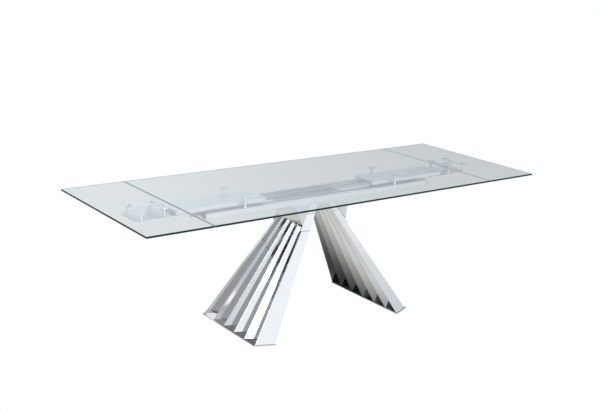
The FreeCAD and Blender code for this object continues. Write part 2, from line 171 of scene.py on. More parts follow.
def mirror_steel():
    """Mirror-polished stainless sheet: long soft waves, faint polishing haze."""
    finish = finish_named("mirror_polished_stainless")
    haze = finish.noise(18.0, 5.0, (1.0, 1.0, 0.25))
    waves = finish.noise(3.2, 1.5, (1.0, 1.0, 0.45))
    colour = finish.blend(haze, (0.80, 0.81, 0.83, 1.0), (0.88, 0.88, 0.89, 1.0))
    shader = principled(finish, Base_Color=colour, Metallic=1.0, Roughness=0.015 + haze * 0.035,
                        Normal=finish.bump(waves, 0.35, 0.004))
    return finish.surface(shader)


def satin_steel():
    """Satin silver sheet, brushed along the table: painted shade darkens the undersides inboard, a painted
    highlight brightens the outer upright faces.
    """
    finish = finish_named("satin_silver_steel")
    brush = finish.noise(900.0, 3.0, (0.02, 1.0, 1.0))
    cloud = finish.noise(9.0, 4.0)
    normal = finish.node("ShaderNodeNewGeometry", output="True Normal")
    facing = finish.node("ShaderNodeSeparateXYZ", {}, {0: normal}, output="Z")
    points = finish.place()
    along = finish.node("ShaderNodeSeparateXYZ", {}, {0: points}, output="X")
    across = finish.node("ShaderNodeSeparateXYZ", {}, {0: points}, output="Y")
    # painted shade: downward faces inboard are darkened to near black
    painted_underside_shade = finish.rise(-1.0 * facing, *FACING_FLAT) * finish.rise(abs(along), *INBOARD)
    silver = finish.blend(cloud, (0.52, 0.525, 0.555, 1.0), (0.60, 0.61, 0.64, 1.0))
    # painted highlight: upright faces away from the middle are brightened to pale silver
    side = finish.rise(abs(facing), *FACING_SIDE) * finish.rise(abs(across), *OFF_CENTRE)
    lit = finish.blend(side, silver, (0.86, 0.87, 0.92, 1.0))
    colour = finish.blend(painted_underside_shade, lit, (0.16, 0.16, 0.17, 1.0))
    shader = principled(finish, Base_Color=colour, Metallic=0.9, Roughness=0.26 + brush * 0.12,
                        Normal=finish.bump(brush, 0.12, 0.0004))
    return finish.surface(shader)


def plate_steel():
    """Floor plates: polished rims around a dark, mottled top."""
    finish = finish_named("dark_topped_plate_steel")
    mottle = finish.noise(45.0, 5.0)
    normal = finish.node("ShaderNodeNewGeometry", output="True Normal")
    facing = finish.node("ShaderNodeSeparateXYZ", {}, {0: normal}, output="Z")
    top = finish.rise(facing, *FACING_FLAT)
    # upward faces get a dark mottled tone
    top_tone = finish.blend(mottle, (0.085, 0.085, 0.088, 1.0), (0.15, 0.15, 0.155, 1.0))
    colour = finish.blend(top, (0.84, 0.84, 0.85, 1.0), top_tone)
    return finish.surface(principled(finish, Base_Color=colour, Metallic=1.0,
                                     Roughness=0.04 + top * 0.14 + mottle * 0.06))


def weld_steel():
    """Brushed weld metal along the joints."""
    finish = finish_named("dressed_weld")
    scale = finish.noise(700.0, 3.0)
    colour = finish.blend(scale, (0.07, 0.07, 0.07, 1.0), (0.14, 0.14, 0.14, 1.0))
    return finish.surface(principled(finish, Base_Color=colour, Metallic=0.9,
                                     Roughness=0.35 + scale * 0.15))


def chrome():
    """Bright chrome on the posts and discs, with light finger haze."""
    finish = finish_named("polished_chrome")
    haze = finish.noise(60.0, 4.0)
    colour = finish.blend(haze, (0.80, 0.82, 0.84, 1.0), (0.90, 0.91, 0.92, 1.0))
    shader = principled(finish, Base_Color=colour, Metallic=1.0, Roughness=0.04 + haze * 0.07)
    return finish.surface(shader)


def clear_glass():
    """Tempered glass, nearly clear with a cool cast. Lamps shine through it."""
    finish = finish_named("tempered_glass")
    glass = principled(finish, Base_Color=(0.855, 0.915, 0.935, 1.0), Roughness=0.0,
                       Transmission_Weight=1.0, IOR=GLASS_IOR)
    shadow = finish.node("ShaderNodeLightPath", output="Is Shadow Ray")
    clear = finish.node("ShaderNodeBsdfTransparent", {}, {0: (0.88, 0.92, 0.92, 1.0)})
    return finish.surface(finish.node("ShaderNodeMixShader", {}, {0: shadow, 1: glass, 2: clear}))


def ground_edge():
    """Ground glass edge: dark green from outside, with painted light: pale green where seen from within and a
    painted teal highlight on the arrises.
    """
    finish = finish_named("ground_glass_edge")
    grind = finish.noise(350.0, 3.0)
    normal = finish.node("ShaderNodeNewGeometry", output="True Normal")
    upright = finish.node("ShaderNodeSeparateXYZ", {}, {0: normal}, output="Z")
    inside = finish.node("ShaderNodeNewGeometry", output="Backfacing")
    dark = finish.blend(grind, (0.003, 0.014, 0.014, 1.0), (0.008, 0.030, 0.028, 1.0))
    # painted highlight: the sloping arris faces are lifted to a lighter teal
    painted_arris_highlight = finish.blend(abs(upright) > ARRIS_SLOPE, dark, (0.025, 0.085, 0.080, 1.0))
    # painted light: faces seen from within the glass are lifted to a pale green
    colour = finish.blend(inside, painted_arris_highlight, (0.42, 0.50, 0.50, 1.0))
    return finish.surface(principled(finish, Base_Color=colour, Roughness=0.16 + grind * 0.10,
                                     IOR=EDGE_IOR))


def seam_edge():
    """Polished edge where the panes meet, painted pale to stand in for the light that comes up between them.
    """
    finish = finish_named("polished_seam_edge")
    grind = finish.noise(350.0, 3.0)
    colour = finish.blend(grind, (0.27, 0.32, 0.33, 1.0), (0.33, 0.38, 0.39, 1.0))
    return finish.surface(principled(finish, Base_Color=colour, Roughness=0.12 + grind * 0.08,
                                     IOR=EDGE_IOR))


def black_plastic():
    """Moulded end caps with a fine grain."""
    finish = finish_named("moulded_black_plastic")
    grain = finish.noise(1400.0, 2.0)
    colour = finish.blend(grain, (0.035, 0.036, 0.04, 1.0), (0.06, 0.06, 0.066, 1.0))
    shader = principled(finish, Base_Color=colour, Roughness=0.42 + grain * 0.15,
                        Normal=finish.bump(grain, 0.2, 0.0002))
    return finish.surface(shader)


def rubber():
    """Matt rubber pads, slightly dusty."""
    finish = finish_named("matt_rubber")
    dust = finish.noise(220.0, 4.0)
    colour = finish.blend(dust, (0.02, 0.02, 0.02, 1.0), (0.07, 0.068, 0.065, 1.0))
    return finish.surface(principled(finish, Base_Color=colour, Roughness=0.75 + dust * 0.2))


def zinc():
    """Zinc-plated screws."""
    finish = finish_named("zinc_plate")
    bloom = finish.noise(240.0, 4.0)
    colour = finish.blend(bloom, (0.55, 0.56, 0.57, 1.0), (0.72, 0.72, 0.70, 1.0))
    return finish.surface(principled(finish, Base_Color=colour, Metallic=1.0,
                                     Roughness=0.24 + bloom * 0.16))


FINISH = {"clear_glass": clear_glass(), "mirror_steel": mirror_steel(), "satin_steel": satin_steel(),
          "chrome_fitting": chrome(), "cap_plastic": black_plastic(), "pad_rubber": rubber()}
SLOT = {part["node"]: part["material_slot"] for part in frame["record"]["subparts"]}
BODY = {node: body for body, nodes in frame["record"]["behaviour"]["bodies"].items() for node in nodes}

# ---- mesh writing ---------------------------------------------------------------------

SAME_POINT = 1e-6
SAME_LEVEL = 1e-5
SLIVER = 0.01 * MM
FLAT_WITHIN = math.radians(1.0)
SHARP_BEYOND = math.radians(30)
BROKEN_SEGMENTS = 2
TURNED_SIDES = 48
DISC_SIDES = 64
PANEL_CREASE = 35
SHEET_CREASE = 40
CHEEK_CREASE = 30
BEAD_CREASE = 50
TURNED_CREASE = 32
SCREW_CREASE = 30


def link(name, mesh, nodes, material=None):
    """A finished piece that stands for some nodes and rides on their body."""
    piece = added(name, mesh, BODY[nodes[0]], SLOT[nodes[0]], material)
    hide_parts(*nodes)
    return piece


def added(name, mesh, body, slot, material=None):
    """A finished piece on a body, with the finish of a slot unless a material is given."""
    piece = bpy.data.objects.new(name, mesh)
    bpy.context.collection.objects.link(piece)
    mesh.materials.clear()
    mesh.materials.append(material or FINISH[slot])
    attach(piece, body)
    return piece


def smooth_by_angle(mesh, degrees):
    """Smooth shading with creases above an angle; wide flat faces stay truly flat."""
    work = bmesh.new()
    work.from_mesh(mesh)
    for face in work.faces:
        face.smooth = True
    for edge in work.edges:
        edge.smooth = len(edge.link_faces) == 2 and edge.calc_face_angle(0.0) < math.radians(degrees)
    work.normal_update()
    work.to_mesh(mesh)
    work.free()
    mesh.normals_split_custom_set(flat_first_normals(mesh))


def flat_first_normals(mesh):
    """Corner normals weighted strongly by face area, within each smooth patch."""
    sharp = {tuple(sorted(edge.vertices)) for edge in mesh.edges if edge.use_edge_sharp}
    faces_at = {}
    for polygon in mesh.polygons:
        for key in polygon.edge_keys:
            faces_at.setdefault(tuple(sorted(key)), []).append(polygon.index)
    normals = []
    for polygon in mesh.polygons:
        for vertex in polygon.vertices:
            patch = {polygon.index}
            frontier = [polygon.index]
            while frontier:
                face = mesh.polygons[frontier.pop()]
                for key in face.edge_keys:
                    key = tuple(sorted(key))
                    if vertex not in key or key in sharp:
                        continue
                    for other in faces_at[key]:
                        if other not in patch:
                            patch.add(other)
                            frontier.append(other)
            total = Vector((0.0, 0.0, 0.0))
            for index in patch:
                total += mesh.polygons[index].normal * mesh.polygons[index].area ** 2
            normals.append(total.normalized() if total.length > 0 else polygon.normal.copy())
    return normals


def softened(node, width):
    """The node's own shape with its edges broken to a small radius."""
    source = frame["nodes"][node]
    mesh = source.data.copy()
    mesh.transform(source.matrix_world)
    work = bmesh.new()
    work.from_mesh(mesh)
    bmesh.ops.remove_doubles(work, verts=work.verts, dist=SAME_POINT)
    bmesh.ops.dissolve_limit(work, angle_limit=FLAT_WITHIN, verts=work.verts, edges=work.edges)
    sharp = [edge for edge in work.edges
             if len(edge.link_faces) == 2 and edge.calc_face_angle(0.0) > SHARP_BEYOND]
    bmesh.ops.bevel(work, geom=sharp, offset=width, segments=BROKEN_SEGMENTS, profile=0.5, affect="EDGES",
                    clamp_overlap=True)
    bmesh.ops.dissolve_degenerate(work, dist=SLIVER, edges=work.edges)
    work.to_mesh(mesh)
    work.free()
    smooth_by_angle(mesh, PANEL_CREASE)
    return link(node + "_finished", mesh, [node], PLATE if node.endswith("floor_plate") else None)


def loft(rings):
    """A closed mesh through rings of points, in order."""
    work = bmesh.new()
    rows = [[work.verts.new(point) for point in ring] for ring in rings]
    count = len(rows[0])
    for low, high in zip(rows, rows[1:]):
        for index in range(count):
            after = (index + 1) % count
            work.faces.new((low[index], low[after], high[after], high[index]))
    work.faces.new(list(reversed(rows[0])))
    work.faces.new(rows[-1])
    bmesh.ops.recalc_face_normals(work, faces=work.faces)
    mesh = bpy.data.meshes.new("loft")
    work.to_mesh(mesh)
    work.free()
    return mesh


def turned(profile, steps=TURNED_SIDES, bored=False):
    """A profile of (radius, height) spun about the upright axis: capped, or closed round a bore."""
    work = bmesh.new()
    rows = []
    for radius, height in profile:
        ring = []
        for step in range(steps):
            turn = 2 * math.pi * step / steps
            ring.append(work.verts.new((radius * math.cos(turn), radius * math.sin(turn), height)))
        rows.append(ring)
    following = rows[1:] + rows[:1] if bored else rows[1:]
    for low, high in zip(rows, following):
        for step in range(steps):
            after = (step + 1) % steps
            work.faces.new((low[step], low[after], high[after], high[step]))
    if not bored:
        work.faces.new(list(reversed(rows[0])))
        work.faces.new(rows[-1])
    bmesh.ops.recalc_face_normals(work, faces=work.faces)
    mesh = bpy.data.meshes.new("turned")
    work.to_mesh(mesh)
    work.free()
    return mesh


def rounded_corner(before, corner, after, radius, steps=6):
    """Points of an arc that rounds a corner of a level outline."""
    into, out = (before - corner).normalized(), (after - corner).normalized()
    half = into.angle(out) / 2
    reach = radius / math.tan(half)
    middle = corner + (into + out).normalized() * (radius / math.sin(half))
    first, last = corner + into * reach - middle, corner + out * reach - middle
    return [middle + first.slerp(last, step / steps) * radius for step in range(steps + 1)]


# ---- geometry nodes -------------------------------------------------------------------


class Growth:
    """A geometry tree with named inputs, ended by realised instances and a material."""

    def __init__(self, name, inputs):
        self.tree = bpy.data.node_groups.new(name, "GeometryNodeTree")
        face = self.tree.interface
        face.new_socket("Geometry", in_out="INPUT", socket_type="NodeSocketGeometry")
        for label, kind in inputs.items():
            face.new_socket(label, in_out="INPUT", socket_type=kind)
        face.new_socket("Geometry", in_out="OUTPUT", socket_type="NodeSocketGeometry")
        self.given = self.tree.nodes.new("NodeGroupInput").outputs

    def node(self, kind, settings=None, sockets=None, output=0):
        made = self.tree.nodes.new(kind)
        for name, value in (settings or {}).items():
            setattr(made, name, value)
        for name, value in (sockets or {}).items():
            if isinstance(value, bpy.types.NodeSocket):
                self.tree.links.new(value, made.inputs[name])
            else:
                made.inputs[name].default_value = value
        return made.outputs[output]

    def maths(self, operation, first, second):
        return self.node("ShaderNodeMath", {"operation": operation}, {0: first, 1: second})

    def end(self, geometry):
        real = self.node("GeometryNodeRealizeInstances", {}, {"Geometry": geometry})
        dressed = self.node("GeometryNodeSetMaterial", {}, {"Geometry": real,
                                                            "Material": self.given["Material"]})
        leaving = self.tree.nodes.new("NodeGroupOutput")
        self.tree.links.new(dressed, leaving.inputs[0])
        return self.tree


def grown(tree, vertices, edges, values):
    """The plain mesh that a tree makes from a few points or lines."""
    seed = bpy.data.meshes.new(tree.name)
    seed.from_pydata(vertices, edges, [])
    host = bpy.data.objects.new(tree.name, seed)
    bpy.context.collection.objects.link(host)
    modifier = host.modifiers.new("grow", "NODES")
    modifier.node_group = tree
    for item in tree.interface.items_tree:
        if item.in_out == "INPUT" and item.name in values:
            modifier[item.identifier] = values[item.name]
    view = bpy.context.evaluated_depsgraph_get()
    mesh = bpy.data.meshes.new_from_object(host.evaluated_get(view))
    bpy.data.objects.remove(host)
    return mesh


HEAD_SIDES = 32
SHANK_SIDES = 24
BEAD_SIDES = 10
CHAMFER_SHARE = 0.18
CREST_SHARE = 0.86
HEXAGON_SHARE = 0.55
SOCKET_FLOOR_SHARE = 0.4
SIXTH_TURN = 1.047
SCREW_SEED = 7


def screw_tree():
    """Socket-head screws standing on points: head, chamfer, hexagon socket and shank."""
    growth = Growth("socket_screws", {"Head Radius": "NodeSocketFloat", "Head Height": "NodeSocketFloat",
                                      "Shank Radius": "NodeSocketFloat", "Shank Length": "NodeSocketFloat",
                                      "Tilt": "NodeSocketVector", "Seed": "NodeSocketInt",
                                      "Material": "NodeSocketMaterial"})
    given = growth.given
    chamfer = growth.maths("MULTIPLY", given["Head Height"], CHAMFER_SHARE)
    straight = growth.maths("SUBTRACT", given["Head Height"], chamfer)
    drum = growth.node("GeometryNodeMeshCone", {}, {"Vertices": HEAD_SIDES, "Depth": straight,
                                                    "Radius Top": given["Head Radius"],
                                                    "Radius Bottom": given["Head Radius"]})
    crest_radius = growth.maths("MULTIPLY", given["Head Radius"], CREST_SHARE)
    crest = growth.node("GeometryNodeMeshCone", {}, {"Vertices": HEAD_SIDES, "Depth": chamfer,
                                                     "Radius Top": crest_radius,
                                                     "Radius Bottom": given["Head Radius"]})
    crest_place = growth.node("ShaderNodeCombineXYZ", {}, {"Z": straight})
    crest = growth.node("GeometryNodeTransform", {}, {"Geometry": crest, "Translation": crest_place})
    head = growth.node("GeometryNodeMeshBoolean", {"operation": "UNION"}, {"Mesh 2": drum})
    growth.tree.links.new(crest, head.node.inputs["Mesh 2"])
    hexagon_radius = growth.maths("MULTIPLY", given["Head Radius"], HEXAGON_SHARE)
    hexagon = growth.node("GeometryNodeMeshCone", {}, {"Vertices": 6, "Radius Top": hexagon_radius,
                                                       "Radius Bottom": hexagon_radius,
                                                       "Depth": given["Head Height"]})
    socket_floor = growth.maths("MULTIPLY", given["Head Height"], SOCKET_FLOOR_SHARE)
    socket_place = growth.node("ShaderNodeCombineXYZ", {}, {"Z": socket_floor})
    hexagon = growth.node("GeometryNodeTransform", {}, {"Geometry": hexagon, "Translation": socket_place})
    head = growth.node("GeometryNodeMeshBoolean", {"operation": "DIFFERENCE"},
                       {"Mesh 1": head, "Mesh 2": hexagon})
    shank = growth.node("GeometryNodeMeshCone", {}, {"Vertices": SHANK_SIDES,
                                                     "Radius Top": given["Shank Radius"],
                                                     "Radius Bottom": given["Shank Radius"],
                                                     "Depth": given["Shank Length"]})
    below = growth.maths("MULTIPLY", given["Shank Length"], -1.0)
    shank_place = growth.node("ShaderNodeCombineXYZ", {}, {"Z": below})
    shank = growth.node("GeometryNodeTransform", {}, {"Geometry": shank, "Translation": shank_place})
    screw = growth.node("GeometryNodeJoinGeometry", {}, {"Geometry": head})
    growth.tree.links.new(shank, screw.node.inputs["Geometry"])
    spin = growth.node("FunctionNodeRandomValue", {"data_type": "FLOAT"}, {"Seed": given["Seed"],
                                                                           "Max": SIXTH_TURN}, output="Value")
    spin = growth.node("ShaderNodeCombineXYZ", {}, {"Z": spin})
    turn = growth.node("ShaderNodeVectorMath", {"operation": "ADD"}, {0: given["Tilt"], 1: spin})
    placed = growth.node("GeometryNodeInstanceOnPoints", {}, {"Points": given["Geometry"], "Instance": screw,
                                                              "Rotation": turn})
    return growth.end(placed)


def repeat_tree():
    """One turned piece repeated on points."""
    growth = Growth("repeated_fittings", {"Piece": "NodeSocketObject", "Material": "NodeSocketMaterial"})
    piece = growth.node("GeometryNodeObjectInfo", {}, {"Object": growth.given["Piece"]}, output="Geometry")
    placed = growth.node("GeometryNodeInstanceOnPoints", {}, {"Points": growth.given["Geometry"],
                                                              "Instance": piece})
    return growth.end(placed)


def bead_tree():
    """A round bead along each line."""
    growth = Growth("weld_beads", {"Radius": "NodeSocketFloat", "Material": "NodeSocketMaterial"})
    line = growth.node("GeometryNodeMeshToCurve", {}, {"Mesh": growth.given["Geometry"]})
    ring = growth.node("GeometryNodeCurvePrimitiveCircle", {}, {"Resolution": BEAD_SIDES,
                                                                "Radius": growth.given["Radius"]})
    bead = growth.node("GeometryNodeCurveToMesh", {}, {"Curve": line, "Profile Curve": ring,
                                                       "Fill Caps": True})
    return growth.end(bead)


# ---- legs -----------------------------------------------------------------------------

FOLD_RADIUS = 3.2 * MM
FOLD_INSIDE = 1.4 * MM
FIN_ROWS = 16
FINS_A_LEG = 6


def fin_corners(node, level):
    """Corners of a fin's section at its lower (0) or upper (-1) end, from the frame."""
    source = frame["nodes"][node]
    points = [source.matrix_world @ vertex.co for vertex in source.data.vertices]
    height = sorted({round(point.z, 5) for point in points})[level]
    ring = {(round(p.x, 6), round(p.y, 6)) for p in points if abs(p.z - height) < SAME_LEVEL}
    ring = sorted((Vector((x, y, height)) for x, y in ring), key=lambda p: -abs(p.x))
    tip, tip_inside = ring[0], ring[1]
    back = sorted((p for p in ring[2:] if p.y > tip.y), key=lambda p: -abs(p.x))
    front = sorted((p for p in ring[2:] if p.y < tip.y), key=lambda p: -abs(p.x))
    return back[0], tip, front[0], front[1], tip_inside, back[1]


def fin_ring(corners):
    """A fin's section with its fold rounded outside and inside."""
    back, tip, front, front_inside, tip_inside, back_inside = corners
    outside = rounded_corner(back, tip, front, FOLD_RADIUS)
    inside = rounded_corner(front_inside, tip_inside, back_inside, FOLD_INSIDE)
    return [back] + outside + [front, front_inside] + inside + [back_inside]


def fins():
    """Folded mirror sheets, side by side."""
    for side in SIDES:
        for number in range(1, FINS_A_LEG + 1):
            node = "%s_fin_%d" % (side, number)
            low, high = fin_ring(fin_corners(node, 0)), fin_ring(fin_corners(node, -1))
            rings = []
            for row in range(FIN_ROWS + 1):
                share = row / FIN_ROWS
                rings.append([a.lerp(b, share) for a, b in zip(low, high)])
            mesh = loft(rings)
            smooth_by_angle(mesh, SHEET_CREASE)
            link(node + "_sheet", mesh, [node])


def corners_at(node, height):
    """The fin's corners at a height, between its ends."""
    low, high = fin_corners(node, 0), fin_corners(node, -1)
    share = (height - low[0].z) / (high[0].z - low[0].z)
    return [a.lerp(b, share) for a, b in zip(low, high)]


CHEEK_FOOT = 0.532
CHEEK_THICKNESS = 1.2 * MM
CHEEK_STAND_OFF = 0.3 * MM
CHEEK_LAP = 1.5 * MM
CHEEK_CLIMB = 0.1


def cheek_edge(side, place, height):
    """The two ends of a cheek's section at a height, and the way it faces."""
    node, outer = (side + "_fin_1", 0) if place == "back" else ("%s_fin_%d" % (side, FINS_A_LEG), 2)
    corners, higher = corners_at(node, height), corners_at(node, height + CHEEK_CLIMB)
    tip, end = corners[1], corners[outer]
    across, up = (tip - end).normalized(), (higher[1] - tip).normalized()
    out = across.cross(up).normalized()
    if (out.y > 0) != (place == "back"):
        out = -out
    return tip + across * CHEEK_LAP, end - across * CHEEK_THICKNESS, out


def crown_cheeks():
    """Thin cover sheets that carry the crown's face over the end sheets of each leg."""
    for side in SIDES:
        for place in ("back", "front"):
            rings = []
            for height in (CHEEK_FOOT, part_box(side + "_leg_cap")[0][2]):
                near, far, out = cheek_edge(side, place, height)
                inside, outside = out * CHEEK_STAND_OFF, out * (CHEEK_STAND_OFF + CHEEK_THICKNESS)
                rings.append([near + inside, near + outside, far + outside, far + inside])
            mesh = loft(rings)
            smooth_by_angle(mesh, CHEEK_CREASE)
            added("%s_%s_cheek" % (side, place), mesh, "root", "mirror_steel")


BEAD_RADIUS = 1.2 * MM


def weld_beads():
    """Dressed welds between the sheets, along the left leg's cheek feet and the right leg's cheek edges."""
    tree = bead_tree()
    for side in SIDES:
        vertices, edges = [], []
        for number in range(1, FINS_A_LEG):
            for level in (0, -1):
                corners = fin_corners("%s_fin_%d" % (side, number), level)
                vertices.append(corners[2].lerp(corners[3], 0.5))
            edges.append((len(vertices) - 2, len(vertices) - 1))
        for place in ("back", "front"):
            near, far, out = cheek_edge(side, place, CHEEK_FOOT)
            if side == "right":
                near, _, out = cheek_edge(side, place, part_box(side + "_crown")[0][2])
                far = cheek_edge(side, place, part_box(side + "_leg_cap")[0][2])[0]
            vertices += [near + out * BEAD_RADIUS, far + out * BEAD_RADIUS]
            edges.append((len(vertices) - 2, len(vertices) - 1))
        mesh = grown(tree, vertices, edges, {"Radius": BEAD_RADIUS, "Material": WELD})
        smooth_by_angle(mesh, BEAD_CREASE)
        added(side + "_leg_welds", mesh, "root", "mirror_steel", WELD)


# ---- glass ----------------------------------------------------------------------------

FACE_SLOPE = 0.95
SEAM_REACH = 8.0 * MM
PANE_BREAK = 0.4 * MM
EDGE_SLOT = 1
SEAM_SLOT = 2


def panes():
    """The three panes, with finishes of their own on the ground edges and at the seams."""
    for node in ("main_glass", "right_leaf_glass", "left_leaf_glass"):
        piece = softened(node, PANE_BREAK)
        piece.data.materials.append(EDGE)
        piece.data.materials.append(SEAM)
        for polygon in piece.data.polygons:
            if abs(polygon.normal.z) < FACE_SLOPE:
                at_seam = abs(abs(polygon.center.x) - SEAM_PLACE) < SEAM_REACH
                polygon.material_index = SEAM_SLOT if at_seam else EDGE_SLOT


# ---- fittings -------------------------------------------------------------------------

LEAF_ROD = 6.0 * MM
LEAF_DISC = 22.0 * MM
GUIDE_BORE = 6.05 * MM
GUIDE_WALL = 9.0 * MM
SLEEVE_SHARE = 0.85
NECK_SHARE = 0.8 * SLEEVE_SHARE


def repeated(fitting, places):
    """One mesh with a turned fitting set down at each place."""
    pattern = bpy.data.objects.new("pattern", fitting)
    bpy.context.collection.objects.link(pattern)
    mesh = grown(REPEAT, [(x, y, 0.0) for x, y in places], [],
                 {"Piece": pattern, "Material": FINISH["chrome_fitting"]})
    bpy.data.objects.remove(pattern)
    smooth_by_angle(mesh, TURNED_CREASE)
    return mesh


def bonded_disc(radius, low, high):
    """A disc with a rounded rim, under a flat face that meets the glass."""
    profile = [(radius * 0.30, low + 0.2 * MM), (radius * 0.80, low), (radius * 0.93, low + 0.4 * MM),
               (radius * 0.985, low + 1.4 * MM), (radius, low + 2.6 * MM), (radius, high - 0.9 * MM),
               (radius * 0.985, high - 0.3 * MM), (radius * 0.96, high - 0.05 * MM)]
    return turned(profile, DISC_SIDES)


def main_post(foot, low, high):
    """A post under the fixed pane: a round foot, a sleeve and a neck below the disc."""
    sleeve, neck = foot * SLEEVE_SHARE, foot * NECK_SHARE
    return turned([(foot * 0.96, low), (foot, low + 0.5 * MM), (foot, low + 3.2 * MM),
                   (foot * 0.93, low + 4 * MM), (sleeve, low + 4.3 * MM), (sleeve, high - 9 * MM),
                   (neck, high - 8 * MM), (neck, high - 6 * MM), (sleeve, high - 5 * MM), (sleeve, high)])


def post_guide(low, high):
    """A bored guide with a collar at its foot and one near its top."""
    waist = GUIDE_WALL * 0.93
    return turned([(GUIDE_BORE, low), (GUIDE_WALL, low), (GUIDE_WALL, low + 1.5 * MM),
                   (waist, low + 2 * MM), (waist, high - 3.5 * MM), (GUIDE_WALL, high - 3 * MM),
                   (GUIDE_WALL, high - 0.6 * MM), (GUIDE_WALL * 0.95, high), (GUIDE_BORE, high)], bored=True)


def main_posts():
    """The posts and bonded discs under the fixed pane."""
    for side in SIDES:
        for row in ("front", "back"):
            post, disc = "%s_%s_post" % (side, row), "%s_%s_disc" % (side, row)
            low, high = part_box(post)
            place = [((low[0] + high[0]) / 2, (low[1] + high[1]) / 2)]
            fitting = main_post((high[0] - low[0]) / 2, low[2], high[2])
            link(post + "_turned", repeated(fitting, place), [post])
            low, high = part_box(disc)
            fitting = bonded_disc((high[1] - low[1]) / 2, low[2], high[2])
            link(disc + "_turned", repeated(fitting, place), [disc])


def leaf_fittings():
    """Posts, discs and guides of both leaf lifts."""
    for side in SIDES:
        posts, discs, guides = side + "_leaf_posts", side + "_leaf_discs", side + "_post_guides"
        low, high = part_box(posts)
        places = [(x, y) for x in (low[0] + LEAF_ROD, high[0] - LEAF_ROD)
                  for y in (low[1] + LEAF_ROD, high[1] - LEAF_ROD)]
        rod = turned([(LEAF_ROD * 0.8, low[2]), (LEAF_ROD, low[2] + 1.2 * MM), (LEAF_ROD, high[2])])
        link(posts + "_turned", repeated(rod, places), [posts])
        low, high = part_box(discs)
        link(discs + "_turned", repeated(bonded_disc(LEAF_DISC, low[2], high[2]), places), [discs])
        low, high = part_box(guides)
        link(guides + "_turned", repeated(post_guide(low[2], high[2]), places), [guides])


def solids(node):
    """The points of each separate solid in a node."""
    source = frame["nodes"][node]
    work = bmesh.new()
    work.from_mesh(source.data)
    work.transform(source.matrix_world)
    bmesh.ops.remove_doubles(work, verts=work.verts, dist=SAME_POINT)
    waiting, groups = set(work.verts), []
    while waiting:
        reached = [waiting.pop()]
        for vertex in reached:
            for edge in vertex.link_edges:
                other = edge.other_vert(vertex)
                if other in waiting:
                    waiting.remove(other)
                    reached.append(other)
        groups.append([vertex.co.copy() for vertex in reached])
    work.free()
    return groups


def middle_of(points):
    """The middle of a solid's plan."""
    xs, ys = [point.x for point in points], [point.y for point in points]
    return (min(xs) + max(xs)) / 2, (min(ys) + max(ys)) / 2


def widest(points, height):
    """The radius of an upright turned solid at one of its levels."""
    x, y = middle_of(points)
    level = [point for point in points if abs(point.z - height) < SAME_LEVEL]
    return max(math.hypot(point.x - x, point.y - y) for point in level)


def screws():
    """Socket screws: heads up on the mounting plate, heads down under the carriage plates."""
    tree = screw_tree()
    for node, heads_up in (("crown_bolts", True), ("right_carriage_bolts", False),
                           ("left_carriage_bolts", False)):
        group = sorted(solids(node), key=middle_of)
        foot, seat, top = sorted({round(point.z, 6) for point in group[0]})
        head_end, shank_end = (top, foot) if heads_up else (foot, top)
        values = {"Head Radius": widest(group[0], head_end), "Head Height": abs(head_end - seat),
                  "Shank Radius": widest(group[0], shank_end), "Shank Length": abs(shank_end - seat),
                  "Tilt": (0.0 if heads_up else math.pi, 0.0, 0.0), "Seed": SCREW_SEED,
                  "Material": ZINC}
        points = [(*middle_of(solid), seat) for solid in group]
        mesh = grown(tree, points, [], values)
        smooth_by_angle(mesh, SCREW_CREASE)
        link(node + "_socket_heads", mesh, [node], ZINC)


def panels():
    """Plates, rails and covers keep their shape and get broken edges."""
    widths = {"floor_plate": 0.8, "crown": 0.9, "leg_cap": 0.5, "mounting_plate": 0.8, "rail": 1.2,
              "tie_plate": 0.8, "channel": 0.3, "carriage_cover": 0.7, "carriage_plate": 0.6,
              "runner": 0.4, "lift_plate": 0.8, "leaf_brace": 0.3, "rail_caps": 0.6, "floor_pads": 0.4}
    done = set()
    for ending, width in widths.items():
        for node in frame["nodes"]:
            if node.endswith(ending) and node not in done:
                softened(node, width * MM)
                done.add(node)


ZINC = zinc()
EDGE = ground_edge()
SEAM = seam_edge()
PLATE = plate_steel()
WELD = weld_steel()
REPEAT = repeat_tree()
panes()
fins()
crown_cheeks()
weld_beads()
main_posts()
leaf_fittings()
screws()
panels()

# ---- stage ----------------------------------------------------------------------------

FLOOR_REACH = 14.0
FLOOR_STRENGTH = 1.1
ROOM_STRENGTH = 1.1
TABLE_SHADOW_MIDDLE = (0.45, 0.15)
DIM_WAY = (0.87, 0.5)

# soft steps of the floor's painted light and shade: from, to, tone at from, tone at to
PAINTED_TABLE_SHADOW = (0.0, 0.75, 0.036, 0.636)
LEFT_DUSK = (-1.8, -0.1, 0.35, 1.0)
FAR_FLOOR = (1.8, 3.2)
FRONT_GLOW = (1.3, 2.2, 1.0, 1.5)
FRONT_FADE = (3.5, 6.0, 1.0, 0.62)

# soft steps of the room's tones, over a direction's parts
HORIZON_LIFT = (-0.10, 0.34, 0.527, 1.0)
LEFT_GREY = (0.45, 0.80, 0.0, 0.60)
LEFT_GREY_HEIGHT = (0.10, 0.28)
BEHIND_DIM = (0.78, 1.0, 0.0, 0.42)
BEHIND_DIM_HEIGHT = (0.08, 0.20)

EYE = (-3.1139, -3.9490, 2.0320)
AZIMUTH, ELEVATION, ROLL = math.radians(36.14), math.radians(18.12), math.radians(2.30)
SENSOR_WIDTH, LENS = 36.0, 57.53
FRAME_SHIFT = (0.0404, 0.0649)
VIEW_DEPTH = 60.0


